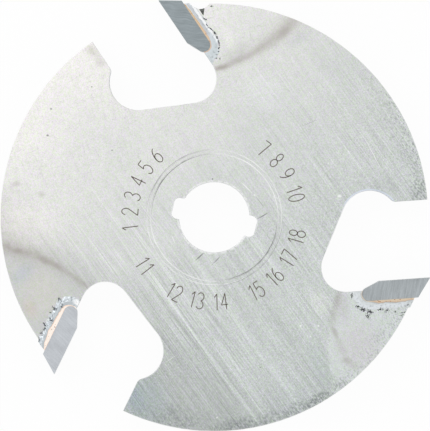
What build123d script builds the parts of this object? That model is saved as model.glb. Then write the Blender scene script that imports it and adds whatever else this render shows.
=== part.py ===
from build123d import *
from math import cos, radians, sin, sqrt, tan
import os

# Router slot cutter: a flat ground steel plate with three brazed carbide tips.
# Millimetres. The origin is on the bore's axis, halfway through the plate, with +Z
# along the bore. From above (+Z) the cutter turns counter-clockwise.

# Cutting size and bore, as marked on the cutter
CUTTING_DIAMETER = 50.8
CUTTING_WIDTH = 3.97
BORE_DIAMETER = 8.0

# Tooth pattern
TOOTH_COUNT = 3
FIRST_TOOTH_ANGLE = -15.6
HOOK_ANGLE = 19.6

# Steel plate, with the edges of its rim and gullets broken
PLATE_THICKNESS = 3.0
RIM_RELIEF = 1.15
EDGE_BREAK = 0.08

# Two key notches that widen the bore, opposite each other
NOTCH_REACH = 4.84
NOTCH_WIDTH = 2.4
NOTCH_CORNER_RADIUS = 0.6
NOTCH_AXIS_ANGLE = -14.1
BORE_EDGE_BREAK = 0.1

# Shallow turned ring around the clamping seat, on both faces
RING_INNER_RADIUS = 7.22
RING_WIDTH = 0.46
RING_DEPTH = 0.06

# Carbide tip, measured from its cutting edge along and square to its rake face
TIP_RAKE_LENGTH = 5.77
TIP_THICKNESS = 2.15
TIP_NOSE_ANGLE = 24.0
TIP_NOSE_RADIUS = 0.75
RIM_CLEARANCE_ANGLE = 15.3
SIDE_CLEARANCE_INWARD = 1.5
SIDE_CLEARANCE_BACKWARD = 2.0

# Braze between a tip and its seat, with a sloping bead on each face of the plate
BRAZE_GAP = 0.25
BEAD_REACH = 1.0
BRAZE_STAND_OUT = 0.2

# Gullet in front of each tip. The far wall is the chip limiter, which lies along the
# rake face, and a round lobe undercuts it.
GULLET_OPENING = 8.85
GULLET_FLOOR_DROP = 1.0
GULLET_ROOT_RADIUS = 13.16
GULLET_ROOT_TILT = 7.0
GULLET_FLOOR_RADIUS = 2.85
LOBE_RADIUS = 3.25
LOBE_UNDERCUT = 1.47
LIMITER_CORNER_RADIUS = 0.8

# Flaw in the rim behind the second tip: a rounded hollow in the edge, and a
# three-cornered void beside it, with its long side along the toe of the braze
FLAW_TOOTH = 1
RIM_HOLLOW_RADIUS = 1.3
RIM_HOLLOW_DEPTH = 0.55
RIM_HOLLOW_LAG_ANGLE = 10.6
VOID_LENGTH = 1.23
VOID_WIDTH = 0.57
VOID_DEPTH = 0.9
VOID_FROM_EDGE = 3.05
VOID_FROM_RAKE = 3.24

# How far a cutting tool runs past the metal that it cuts
TOOL_OVERRUN = 5.0

# Sizes worked out from the ones above
CUTTING_RADIUS = CUTTING_DIAMETER / 2
PLATE_RADIUS = CUTTING_RADIUS - RIM_RELIEF
HALF_PLATE = PLATE_THICKNESS / 2
HALF_WIDTH = CUTTING_WIDTH / 2
CUTTING_POINT = Vector(CUTTING_RADIUS, 0)
RAKE_FRAME = Pos(CUTTING_RADIUS, 0, 0) * Rot(0, 0, HOOK_ANGLE)
ALONG_RAKE = Vector(cos(radians(HOOK_ANGLE)), sin(radians(HOOK_ANGLE)))
AHEAD_OF_RAKE = Vector(-ALONG_RAKE.Y, ALONG_RAKE.X)


def tooth_turn(index):
    """The turn about the bore that carries the tooth at angle 0 to its own place."""
    return Rot(0, 0, FIRST_TOOTH_ANGLE + index * 360 / TOOTH_COUNT)


def crossing(point, heading, other_point, other_heading):
    """Where two straight lines in the plane of the plate cross."""
    gap = other_point - point
    turn = heading.X * other_heading.Y - heading.Y * other_heading.X
    reach = (gap.X * other_heading.Y - gap.Y * other_heading.X) / turn
    return point + heading * reach


def tip_outline():
    """A tip from above: rake face, slanted front of the nose, back and rim clearance."""
    heel = -TIP_THICKNESS * tan(radians(HOOK_ANGLE + RIM_CLEARANCE_ANGLE))
    nose = -TIP_RAKE_LENGTH - TIP_THICKNESS / tan(radians(TIP_NOSE_ANGLE))
    corners = [(0, 0), (-TIP_RAKE_LENGTH, 0), (nose, -TIP_THICKNESS), (heel, -TIP_THICKNESS)]
    outline = make_face(Polyline(*corners, close=True))
    outline = fillet(outline.vertices().sort_by(Axis.X)[0], TIP_NOSE_RADIUS)
    return RAKE_FRAME * outline


def gullet_outline():
    """A gullet from above, left open far beyond the rim."""
    limiter = CUTTING_POINT + AHEAD_OF_RAKE * GULLET_OPENING
    floor = CUTTING_POINT - AHEAD_OF_RAKE * GULLET_FLOOR_DROP
    outward = Vector(cos(radians(-GULLET_ROOT_TILT)), sin(radians(-GULLET_ROOT_TILT)))
    root = outward * GULLET_ROOT_RADIUS
    along_root = Vector(-outward.Y, outward.X)

    below_limiter = LOBE_RADIUS - LOBE_UNDERCUT
    lobe_centre = crossing(
        limiter - AHEAD_OF_RAKE * below_limiter, ALONG_RAKE,
        root + outward * LOBE_RADIUS, along_root,
    )
    half_mouth = sqrt(LOBE_RADIUS**2 - below_limiter**2)
    lobe_mouth = lobe_centre + AHEAD_OF_RAKE * below_limiter + ALONG_RAKE * half_mouth
    lobe_top = lobe_centre + AHEAD_OF_RAKE * LOBE_RADIUS
    lobe_foot = lobe_centre - outward * LOBE_RADIUS
    floor_corner = crossing(floor, ALONG_RAKE, root, along_root)
    limiter_end = limiter + ALONG_RAKE * TOOL_OVERRUN
    floor_end = floor + ALONG_RAKE * TOOL_OVERRUN

    edges = Curve() + [
        Line(limiter_end, lobe_mouth),
        ThreePointArc(lobe_mouth, lobe_top, lobe_foot),
        Line(lobe_foot, floor_corner),
        Line(floor_corner, floor_end),
        Line(floor_end, limiter_end),
    ]
    outline = make_face(edges)
    outline = fillet(outline.vertices().sort_by_distance(floor_corner)[0], GULLET_FLOOR_RADIUS)
    return fillet(outline.vertices().sort_by_distance(lobe_mouth)[0], LIMITER_CORNER_RADIUS)


def bore_outline():
    """The round bore with its two opposite key notches."""
    notches = RectangleRounded(2 * NOTCH_REACH, NOTCH_WIDTH, NOTCH_CORNER_RADIUS)
    return Circle(BORE_DIAMETER / 2) + Rot(0, 0, NOTCH_AXIS_ANGLE) * notches


def seat_ring():
    """The shallow ring groove of the upper face, as the metal that it takes away."""
    outer = RING_INNER_RADIUS + RING_WIDTH
    floor = HALF_PLATE - RING_DEPTH
    section = Polyline(
        (RING_INNER_RADIUS, HALF_PLATE),
        (RING_INNER_RADIUS + RING_DEPTH, floor),
        (outer - RING_DEPTH, floor),
        (outer, HALF_PLATE),
        close=True,
    )
    return revolve(Plane.XZ * make_face(section), Axis.Z)


def rim_flaw():
    """The hollow in the rim and the three-cornered void beside it, at tooth angle 0."""
    hollow_distance = PLATE_RADIUS - RIM_HOLLOW_DEPTH + RIM_HOLLOW_RADIUS
    hollow = Pos(hollow_distance, 0, 0) * Cylinder(RIM_HOLLOW_RADIUS, CUTTING_WIDTH)
    void_floor = HALF_PLATE - VOID_DEPTH
    corners = [(0, 0), (-VOID_LENGTH, 0), (-VOID_LENGTH / 2, -VOID_WIDTH)]
    void = extrude(make_face(Polyline(*corners, close=True)), HALF_WIDTH - void_floor)
    void = RAKE_FRAME * Pos(-VOID_FROM_EDGE, -VOID_FROM_RAKE, void_floor) * void
    return [Rot(0, 0, -RIM_HOLLOW_LAG_ANGLE) * hollow, void]


def plate():
    """The steel plate: disc, gullets, broken edges, tip seats, bore, rings and rim flaw."""
    outline = Circle(PLATE_RADIUS) - bore_outline()
    for index in range(TOOTH_COUNT):
        outline -= tooth_turn(index) * gullet_outline()
    body = extrude(outline, HALF_PLATE, both=True)
    sides = body.faces().filter_by(Axis.Z)
    body = chamfer([edge for side in sides for edge in side.outer_wire().edges()], EDGE_BREAK)
    sides = body.faces().filter_by(Axis.Z)
    bore_edges = [edge for side in sides for edge in side.inner_wires()[0].edges()]
    body = chamfer(bore_edges, BORE_EDGE_BREAK)
    seat = offset(tip_outline(), BRAZE_GAP, kind=Kind.INTERSECTION)
    for index in range(TOOTH_COUNT):
        body -= tooth_turn(index) * extrude(seat, HALF_PLATE, both=True)
    body -= seat_ring()
    body -= mirror(seat_ring(), Plane.XY)
    for flaw in rim_flaw():
        body -= tooth_turn(FLAW_TOOTH) * flaw
    return body


def side_ground(blank):
    """Grind both sides of a tip blank, narrower towards the bore and behind the edge."""
    normal = (-tan(radians(SIDE_CLEARANCE_INWARD)), -tan(radians(SIDE_CLEARANCE_BACKWARD)), 1)
    side = Plane(origin=(CUTTING_RADIUS, 0, HALF_WIDTH), z_dir=normal)
    waste = side * Box(
        CUTTING_DIAMETER, CUTTING_DIAMETER, CUTTING_WIDTH,
        align=(Align.CENTER, Align.CENTER, Align.MIN),
    )
    return blank - waste - mirror(waste, Plane.XY)


def carbide_tip():
    """One tip, at tooth angle 0."""
    return side_ground(extrude(tip_outline(), HALF_WIDTH, both=True))


def braze_seam():
    """The braze around the back and nose of the tip at tooth angle 0, with its beads."""
    tip = tip_outline()
    seat = offset(tip, BRAZE_GAP, kind=Kind.INTERSECTION)
    toe = offset(tip, BRAZE_GAP + BEAD_REACH, kind=Kind.INTERSECTION)
    bead = loft([Pos(0, 0, HALF_PLATE) * toe, Pos(0, 0, HALF_WIDTH) * seat])
    blank = extrude(seat, HALF_WIDTH, both=True) + bead + mirror(bead, Plane.XY)
    blank -= extrude(tip, HALF_WIDTH, both=True)
    behind_floor = RAKE_FRAME * Pos(0, -GULLET_FLOOR_DROP, 0) * Box(
        CUTTING_DIAMETER, CUTTING_RADIUS, CUTTING_WIDTH,
        align=(Align.CENTER, Align.MAX, Align.CENTER),
    )
    inside_rim = Cylinder(PLATE_RADIUS + BRAZE_STAND_OUT, CUTTING_WIDTH)
    return side_ground(blank & behind_floor & inside_rim)


def main():
    os.makedirs("parts", exist_ok=True)
    pieces = {"plate": plate()}
    for index in range(TOOTH_COUNT):
        seam = braze_seam()
        if index == FLAW_TOOTH:
            for flaw in rim_flaw():
                seam -= flaw
        pieces[f"carbide_tip_{index + 1}"] = tooth_turn(index) * carbide_tip()
        pieces[f"braze_seam_{index + 1}"] = tooth_turn(index) * seam
    for name, piece in pieces.items():
        solids = piece.solids()
        print(f"{name}: {len(solids)} solid, {piece.volume:.2f} mm3")
        export_step(solids[0] if len(solids) == 1 else piece, f"parts/{name}.step")


main()
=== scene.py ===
# %% [markdown]
# Router slot cutter, dressed in Blender
#
# The cutter is a flat ground steel plate with three carbide tips brazed into its rim. Its
# solids are already right, so this lesson is about surfaces: ground steel, diamond-ground
# carbide, and the small untidy strip of braze that joins the two. The solids come in as a
# fixed frame in metres, with the origin on the bore's axis and +Z towards the viewer.

# %% Load the solids
from math import cos, pi, radians, sin, tan

import bpy
import numpy as np
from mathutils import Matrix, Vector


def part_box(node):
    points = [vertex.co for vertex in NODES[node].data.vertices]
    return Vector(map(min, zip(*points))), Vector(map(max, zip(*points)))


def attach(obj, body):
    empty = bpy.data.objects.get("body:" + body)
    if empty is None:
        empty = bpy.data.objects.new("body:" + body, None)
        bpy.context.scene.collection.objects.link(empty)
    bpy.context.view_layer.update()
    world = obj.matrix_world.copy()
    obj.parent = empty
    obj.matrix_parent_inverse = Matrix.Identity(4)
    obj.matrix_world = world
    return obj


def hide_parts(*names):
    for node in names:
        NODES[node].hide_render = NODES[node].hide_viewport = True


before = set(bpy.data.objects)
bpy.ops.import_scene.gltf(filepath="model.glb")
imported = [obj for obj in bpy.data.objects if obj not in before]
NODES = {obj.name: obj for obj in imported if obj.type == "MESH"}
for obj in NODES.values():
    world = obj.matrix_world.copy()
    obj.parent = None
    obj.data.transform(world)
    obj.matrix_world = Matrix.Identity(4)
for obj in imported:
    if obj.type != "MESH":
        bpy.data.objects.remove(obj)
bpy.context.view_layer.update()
MM = 0.001
print("nodes:", ", ".join(sorted(NODES)))

# %% [markdown]
# The cutter's own sizes
#
# A few sizes place everything else: the circle that the tips cut, the hook angle of their
# rake faces, and how long and thick a tip is. They are in millimetres, because every
# feature here is a millimetre or less. The heights are read from the frame.

# %% Sizes shared by all pieces
CUTTING_RADIUS = 25.4
PLATE_RADIUS = 24.25
HALF_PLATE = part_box("plate")[1].z / MM
HALF_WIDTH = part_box("carbide_tip_1")[1].z / MM
TOOTH_ANGLES = (-15.6, 104.4, 224.4)
TEETH = range(len(TOOTH_ANGLES))
HOOK_ANGLE = 19.6
TIP_LENGTH = 5.77
TIP_THICKNESS = 2.15
print(f"plate {2 * HALF_PLATE:.2f} mm thick, tips {2 * HALF_WIDTH:.2f} mm wide")

# %% [markdown]
# The camera
#
# The cutter was photographed square-on, so the camera looks straight down. A very long
# lens from nearly a metre away keeps the walls of the gullets out of sight, as they are
# in the photograph, and still leaves an ordinary camera for the other views. The view's
# width comes from the photograph: how many pixels it has, and how many a millimetre takes.

# %% Camera
PHOTO_WIDTH = 430
PIXELS_PER_MM = 8.819
VIEW_CENTRE = (0.079, 0.21)
SENSOR = 36.0
LENS = 600.0

scene = bpy.context.scene
scene.view_settings.view_transform = "Standard"
camera_data = bpy.data.cameras.new("camera")
camera_data.sensor_fit = "HORIZONTAL"
camera_data.sensor_width = SENSOR
camera_data.lens = LENS
camera = bpy.data.objects.new("camera", camera_data)
camera_height = HALF_PLATE + PHOTO_WIDTH / PIXELS_PER_MM * LENS / SENSOR
camera.location = (VIEW_CENTRE[0] * MM, VIEW_CENTRE[1] * MM, camera_height * MM)
scene.collection.objects.link(camera)
scene.camera = camera
print(f"camera {camera_height:.0f} mm above the cutter")

# %% [markdown]
# Building a material
#
# A material is a graph of small nodes. Written out in full, the graph hides the idea, so
# this class adds a node, fills its inputs with numbers or with other nodes' outputs, and
# hands back its output. The patterns read Object coordinates, turned into millimetres.
# They stay on the metal wherever the camera goes. Most finishes here are a noise, a step
# that turns it into an amount, and a blend of two colours by that amount.

# %% A short way to write a node graph
FLAT = (1, 1, 1000)


class Finish:
    """The graph of one material. Each method adds nodes and returns an output socket."""

    def __init__(self, name):
        """An empty graph that knows its place in millimetres."""
        self.material = bpy.data.materials.new(name)
        self.material.use_nodes = True
        self.tree = self.material.node_tree
        self.tree.nodes.clear()
        metres = self.add("TexCoord", {}, "Object")
        self.place = self.add("VectorMath", {0: metres, "Scale": 1 / MM}, operation="SCALE")

    def add(self, kind, inputs, output=0, **settings):
        """A node. Each input takes a number, a tuple or another node's output."""
        node = self.tree.nodes.new("ShaderNode" + kind)
        for name, value in settings.items():
            setattr(node, name, value)
        for name, value in inputs.items():
            socket = node.inputs[name]
            if isinstance(value, bpy.types.NodeSocket):
                self.tree.links.new(value, socket)
            elif isinstance(value, tuple):
                socket.default_value = value[:len(socket.default_value)]
            else:
                socket.default_value = value
        return node.outputs[output]

    def math(self, operation, first, second=0.0):
        """One operation on one or two values."""
        return self.add("Math", {0: first, 1: second}, operation=operation)

    def joined(self, operation, values):
        """One operation on many values, from the first to the last."""
        result = values[0]
        for value in values[1:]:
            result = self.math(operation, result, value)
        return result

    def plus(self, *values):
        """The sum of the values."""
        return self.joined("ADD", values)

    def times(self, *values):
        """The product of the values."""
        return self.joined("MULTIPLY", values)

    def largest(self, values):
        """The largest of the values."""
        return self.joined("MAXIMUM", values)

    def apart(self, first, second):
        """The difference of two values, without its sign."""
        return self.math("ABSOLUTE", self.math("SUBTRACT", first, second))

    def step(self, value, low, high, start=0.0, end=1.0, shape="SMOOTHSTEP"):
        """start where value is low, end where it is high, and eased between."""
        inputs = {"Value": value, "From Min": low, "From Max": high, "To Min": start, "To Max": end}
        return self.add("MapRange", inputs, interpolation_type=shape)

    def seen_from(self, centre=(0, 0, 0), angle=0.0, scale=(1, 1, 1)):
        """The place as measured from a centre, along axes turned by an angle in degrees,
        in units of scale."""
        turn = (0, 0, radians(angle))
        inputs = {"Vector": self.place, "Location": centre, "Rotation": turn, "Scale": scale}
        return self.add("Mapping", inputs, vector_type="TEXTURE")

    def parts(self, vector):
        """The x, y and z of a vector."""
        return self.add("SeparateXYZ", {0: vector}).node.outputs

    def length(self, vector):
        """The length of a vector."""
        return self.add("VectorMath", {0: vector}, "Value", operation="LENGTH")

    def toward(self, angle):
        """How far a place lies from the bore's axis in one direction."""
        return self.parts(self.seen_from(angle=angle))[0]

    def from_axis(self, x=0.0, y=0.0):
        """Distance from an upright line through x and y, at any height."""
        return self.length(self.seen_from((x, y, 0.0), scale=FLAT))

    def noise_of(self, vector, seed, detail=1.0, roughness=0.5):
        """Random values about 0.5, one cell for each unit of the vector."""
        inputs = {"Vector": vector, "W": seed, "Scale": 1.0, "Detail": detail, "Roughness": roughness}
        return self.add("TexNoise", inputs, "Fac", noise_dimensions="4D")

    def noise(self, cell, seed, detail=1.0, roughness=0.5, angle=0.0):
        """Random values about 0.5. A cell's size is one number, or three numbers for a
        cell that is stretched along axes turned by an angle."""
        scale = cell if isinstance(cell, tuple) else (cell, cell, cell)
        return self.noise_of(self.seen_from(angle=angle, scale=scale), seed, detail, roughness)

    def swing(self, noise, strength):
        """A noise less a half, times a strength: a change up and down from zero."""
        return self.times(self.math("SUBTRACT", noise, 0.5), strength)

    def spot(self, x, y, half_length, half_width, angle=0.0):
        """1 at a place on the upper face, falling to 0 at the edge of an ellipse round it."""
        seen = self.seen_from((x, y, HALF_PLATE), angle, (half_length, half_width, 1.0))
        return self.add("TexGradient", {"Vector": seen}, "Fac", gradient_type="SPHERICAL")

    def blend(self, factor, first, second):
        """The first colour where factor is 0, the second where it is 1."""
        inputs = {0: factor, 6: first, 7: second}
        return self.add("Mix", inputs, 2, data_type="RGBA", clamp_factor=True)

    def shade(self, colour, amount):
        """A colour times an amount of light."""
        return self.add("VectorMath", {0: colour, "Scale": amount}, operation="SCALE")

    def tint(self, colour, other):
        """A colour times another one, channel by channel."""
        return self.add("VectorMath", {0: colour, 1: other}, operation="MULTIPLY")

    def finished(self, shader):
        """The material, with its shader joined to the surface."""
        output = self.tree.nodes.new("ShaderNodeOutputMaterial")
        self.tree.links.new(shader, output.inputs["Surface"])
        return self.material

    def metal(self, colour, roughness, metallic, relief, depth):
        """A metal whose relief is so many millimetres deep."""
        bump = self.add("Bump", {"Height": relief, "Distance": depth * MM})
        inputs = {"Base Color": colour, "Roughness": roughness, "Metallic": metallic, "Normal": bump}
        return self.finished(self.add("BsdfPrincipled", inputs))


print("a finish knows:", ", ".join(name for name in vars(Finish) if not name.startswith("_")))

# %% Colours, and a solid that wears a material
WHITE = (1.0, 1.0, 1.0, 1.0)


def tone(red, green, blue):
    """A colour as it looks on screen, from 0 to 255, turned into the light it stands for:
    near black a plain share of it, above that a power of 2.4."""
    screen = np.array([red, green, blue]) / 255
    light = np.where(screen <= 0.04045, screen / 12.92, ((screen + 0.055) / 1.055) ** 2.4)
    return (*light.tolist(), 1.0)


def wear(node, material):
    """Give a solid from the frame its material."""
    mesh = NODES[node].data
    mesh.materials.clear()
    mesh.materials.append(material)
    print(f"{node} wears {len(material.node_tree.nodes)} nodes")


print(f"a mid grey on screen is {tone(128, 128, 128)[0]:.2f} of the light of white")

# %% [markdown]
# Light
#
# The photograph is evenly lit, a little brighter from the upper left. A white world gives
# the even light, and one soft lamp close by on the upper left gives the rest. The camera
# and mirrors see the world at its full level.

# %% World
WORLD_LEVEL = 0.8


def to_eyes_and_mirrors(tree):
    """1 for a ray from the camera, a reflection or glass, and 0 for other light."""
    path = tree.nodes.new("ShaderNodeLightPath")
    result = path.outputs["Is Camera Ray"]
    for name in ("Is Glossy Ray", "Is Transmission Ray"):
        either = tree.nodes.new("ShaderNodeMath")
        either.operation = "MAXIMUM"
        tree.links.new(result, either.inputs[0])
        tree.links.new(path.outputs[name], either.inputs[1])
        result = either.outputs[0]
    return result


world = bpy.data.worlds.new("studio")
scene.world = world
world.use_nodes = True
sky = world.node_tree
sky.nodes.clear()
level = sky.nodes.new("ShaderNodeMapRange")
level.inputs["To Min"].default_value = WORLD_LEVEL
sky.links.new(to_eyes_and_mirrors(sky), level.inputs["Value"])
background = sky.nodes.new("ShaderNodeBackground")
background.inputs["Color"].default_value = WHITE
sky.links.new(level.outputs[0], background.inputs["Strength"])
sky_output = sky.nodes.new("ShaderNodeOutputWorld")
sky.links.new(background.outputs[0], sky_output.inputs["Surface"])
print(f"world at {WORLD_LEVEL} for the light that it gives")

# %% Lamp
LAMP_PLACE = (-70.0, 70.0, 90.0)
LAMP_SIZE = 60.0
LAMP_POWER = 0.025

lamp_data = bpy.data.lights.new("soft_lamp", "AREA")
lamp_data.size = LAMP_SIZE * MM
lamp_data.energy = LAMP_POWER
lamp = bpy.data.objects.new("soft_lamp", lamp_data)
lamp.location = [v * MM for v in LAMP_PLACE]
lamp.rotation_euler = (-lamp.location).to_track_quat("-Z", "Y").to_euler()
scene.collection.objects.link(lamp)
print(f"lamp {lamp.location.length / MM:.0f} mm from the bore")

# %% [markdown]
# The floor
#
# The floor shines white to the camera and in reflections, with a small share of ordinary
# matt white mixed in, so that it keeps a faint shadow of the cutter. From behind it is
# clear, so that the underside of the cutter can be looked at. A renderer splits the square
# floor along a diagonal, and seen from below that seam draws a line across the cutter. The
# floor is shifted to one side, so that the seam passes clear of it.

# %% Floor
HALF_FLOOR = 750.0
FLOOR_SHIFT = 150.0
MATT_SHARE = 0.05
MATT_WHITE = (0.98, 0.98, 0.98, 1)

floor_mesh = bpy.data.meshes.new("floor")
signs = ((-1, -1), (1, -1), (1, 1), (-1, 1))
edges = [(x * HALF_FLOOR, y * HALF_FLOOR + FLOOR_SHIFT) for x, y in signs]
corners = [(x * MM, y * MM, -HALF_WIDTH * MM) for x, y in edges]
floor_mesh.from_pydata(corners, [], [(0, 1, 2, 3)])
floor = bpy.data.objects.new("floor", floor_mesh)
scene.collection.objects.link(floor)

paper = Finish("white_paper")
matt = paper.add("BsdfDiffuse", {"Color": MATT_WHITE})
white = paper.add("Emission", {"Strength": 1.0})
share = paper.times(to_eyes_and_mirrors(paper.tree), 1 - MATT_SHARE)
front = paper.add("MixShader", {0: share, 1: matt, 2: white})
back = paper.add("NewGeometry", {}, "Backfacing")
clear = paper.add("BsdfTransparent", {})
floor_mesh.materials.append(paper.finished(paper.add("MixShader", {0: back, 1: front, 2: clear})))
print(f"floor {2 * HALF_FLOOR:.0f} mm wide")

# %% [markdown]
# Places beside a tip
#
# Braze and pits are easiest to place from the tip that they belong to: one axis along the
# rake face from the cutting edge, one square to it. A function turns such a place into
# one on the cutter. The tip's inner end is a nose with a slanted front and a rounded
# point, and the braze goes round the centre of that rounding.

# %% From a tip's own axes to the cutter's
NOSE_ANGLE = radians(24.0)
NOSE_RADIUS = 0.75


def turned(x, y, angle):
    """A point turned about the origin by an angle in degrees, anticlockwise."""
    turn = radians(angle)
    return x * cos(turn) - y * sin(turn), x * sin(turn) + y * cos(turn)


def on_cutter(tooth, along, ahead):
    """Turn by the hook angle, shift to the cutting circle, then turn to the tooth."""
    x, y = turned(along, ahead, HOOK_ANGLE)
    return turned(x + CUTTING_RADIUS, y, TOOTH_ANGLES[tooth])


nose_apex = -TIP_LENGTH - TIP_THICKNESS / tan(NOSE_ANGLE)
NOSE_ALONG = nose_apex + NOSE_RADIUS / tan(NOSE_ANGLE / 2)
NOSE_AHEAD = NOSE_RADIUS - TIP_THICKNESS
print(f"nose centre {NOSE_ALONG:.2f}, {NOSE_AHEAD:.2f} mm from the cutting edge")

# %% [markdown]
# Pits beside the braze
#
# Where the flux boiled, the toe of the braze is pitted, and some pits lie in the steel
# beside it. Each entry below is one patch of them: its place along and ahead of its tip's
# cutting edge, its half length and half width, and the way that it points. Inside a patch
# the pits branch like roots. Those roots are the places where a noise passes through its
# middle value. The braze and the plate both use the list, so that a pit which crosses
# from one to the other stays one pit.

# %% Where the pits are
PITS = (
    (
        (-9.0, -1.45, 0.5, 0.17, 85), (-8.4, -2.75, 0.36, 0.24, -30), (-7.85, -3.05, 0.58, 0.36, -25),
        (-7.3, -3.9, 0.66, 0.3, -60), (-7.1, -3.4, 0.55, 0.38, -20), (-5.85, -3.2, 0.5, 0.26, 10),
        (-5.1, -3.38, 0.5, 0.28, 20), (-4.2, -3.56, 0.3, 0.16, 0), (-2.8, -2.95, 0.42, 0.2, 25),
        (-3.2, -3.72, 0.56, 0.1, 5), (-3.45, -4.02, 0.46, 0.09, 3),
    ),
    (
        (-4.7, -3.2, 0.45, 0.09, 31), (-5.37, -2.98, 0.34, 0.08, 2), (-6.0, -3.1, 0.48, 0.09, -161),
        (-6.62, -3.21, 0.36, 0.12, 178), (-7.2, -3.14, 0.42, 0.13, 170), (-7.83, -2.97, 0.44, 0.13, 159),
        (-8.25, -2.72, 0.16, 0.1, 125), (-8.33, -2.6, 0.12, 0.1, 0), (-8.62, -2.39, 0.13, 0.11, 0),
        (-8.8, -2.05, 0.11, 0.09, 0), (-9.1, -1.75, 0.24, 0.07, 60), (-9.4, -2.05, 0.2, 0.07, 150),
        (-3.9, -4.59, 0.28, 0.11, 60),
    ),
    (
        (-7.89, -3.25, 0.34, 0.22, -30), (-7.48, -2.66, 0.62, 0.24, 25), (-6.69, -3.26, 0.5, 0.26, 70),
        (-6.1, -3.42, 0.38, 0.22, -40), (-5.32, -3.0, 0.52, 0.36, 60), (-4.6, -3.45, 0.36, 0.24, 60),
        (-4.2, -3.23, 0.36, 0.22, -20), (-3.6, -3.4, 0.36, 0.22, 20), (-2.8, -3.32, 0.4, 0.22, 40),
        (-2.2, -3.66, 0.4, 0.2, 20), (-5.4, -2.92, 0.34, 0.16, 10),
    ),
)
print("patches of pits:", [len(pits) for pits in PITS])

# %% Pits
PIT_TONES = (tone(70, 72, 74), tone(84, 88, 92), tone(86, 90, 96))
PIT_SOLIDNESS = (-0.04, 0.24, -0.02)
VEIN_CELL = 0.3
VEIN_HALF_WIDTH = 0.06


def pitted(finish, colour, relief, teeth):
    """Dark pits: a patch's spot, plus its solidness, plus more on a vein and less off it.
    Where that sum is high enough there is a pit."""
    off_vein = finish.apart(finish.noise(VEIN_CELL, 60, 2), 0.5)
    veins = finish.step(off_vein, 0.0, VEIN_HALF_WIDTH, 0.34, -0.3)
    for tooth in teeth:
        turn = TOOTH_ANGLES[tooth] + HOOK_ANGLE
        spots = finish.largest([
            finish.spot(*on_cutter(tooth, along, ahead), half_length, half_width, turn + angle)
            for along, ahead, half_length, half_width, angle in PITS[tooth]
        ])
        deep = finish.plus(spots, veins, PIT_SOLIDNESS[tooth])
        amount = finish.times(finish.step(deep, 0.36, 0.5), finish.step(spots, 0.0, 0.15))
        colour = finish.blend(amount, colour, PIT_TONES[tooth])
        relief = finish.math("SUBTRACT", relief, amount)
    return colour, relief


print(f"veins {2 * VEIN_HALF_WIDTH:.2f} of the noise wide")

# %% [markdown]
# Where the heat stopped
#
# Brazing each tip heated the steel round it, and left a brown line where the heat
# stopped: an arc about a point beyond the tip. Its centre is measured from the bore's
# axis, outward and ahead of the tooth. Inside the arc the metal is a little brighter. The
# first tip has the edge of that paler metal and hardly any brown, and the other two have
# a plain line. The grinding fades inside the arcs too, so the arcs come first.

# %% Heat lines
HEATS = (
    dict(centre=(28.8, -7.3), radius=13.05, strength=0.12, patchy=1.0, brighter=1.13, soft=0.5),
    dict(centre=(34.4, -3.8), radius=18.2, strength=0.85, patchy=0.15, brighter=1.01, soft=2.5),
    dict(centre=(35.3, -3.0), radius=19.5, strength=0.8, patchy=0.35, brighter=1.08, soft=2.5),
)


def heat_distance(finish, tooth):
    """Distance from the arc's centre less its radius: negative on the tip's side. All
    metal ahead of the tip, across the gullet, counts as far outside."""
    away = finish.from_axis(*turned(*HEATS[tooth]["centre"], TOOTH_ANGLES[tooth]))
    ahead = finish.parts(finish.seen_from(angle=TOOTH_ANGLES[tooth]))[1]
    away = finish.plus(away, finish.step(ahead, 0.0, 1.0, 0.0, CUTTING_RADIUS))
    return finish.math("SUBTRACT", away, HEATS[tooth]["radius"])


print("radii of the heat lines:", [heat["radius"] for heat in HEATS])

# %% [markdown]
# Ground steel
#
# The plate was ground flat on a wide wheel, which left straight parallel lines across it,
# 54 degrees below the horizontal. Its broad tone is grey, with a painted sheen at the upper
# left, where the light caught the plate, and painted shade at the lower left. The sheen
# grows in one direction, and a cloudy noise keeps its edge from being straight. Several
# steps below are named: where the step starts and ends, and what it gives at those two
# places.

# %% Broad tone of the steel
STEEL_FAR = tone(199, 205, 202)
# The pale colour is a painted sheen, where the light caught the plate.
STEEL_PAINTED_SHEEN = tone(237, 236, 232)
SHEEN_ANGLE = 133.0
SHEEN_REACH = 23.7
CLOUD_CELL = 7.0
CLOUD_SWING = 14.0
SHADE_ANGLE = -129.0
SHADE_STEP = (10.0, 18.0, 1.0, 0.8)


def broad_tone(finish):
    """Grey blended to a painted sheen by the square of the way into it, times painted shade."""
    cloud = finish.swing(finish.noise(CLOUD_CELL, 1, 3), CLOUD_SWING)
    drift = finish.plus(finish.toward(SHEEN_ANGLE), cloud)
    painted_sheen = finish.math("POWER", finish.step(drift, -SHEEN_REACH, SHEEN_REACH, shape="LINEAR"), 2.0)
    # Painted sheen towards the upper left, then painted shade towards the lower left.
    colour = finish.blend(painted_sheen, STEEL_FAR, STEEL_PAINTED_SHEEN)
    return finish.shade(colour, finish.step(finish.toward(SHADE_ANGLE), *SHADE_STEP))


print(f"haze towards {SHEEN_ANGLE:.0f} degrees, shade towards {SHADE_ANGLE:.0f} degrees")
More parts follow.
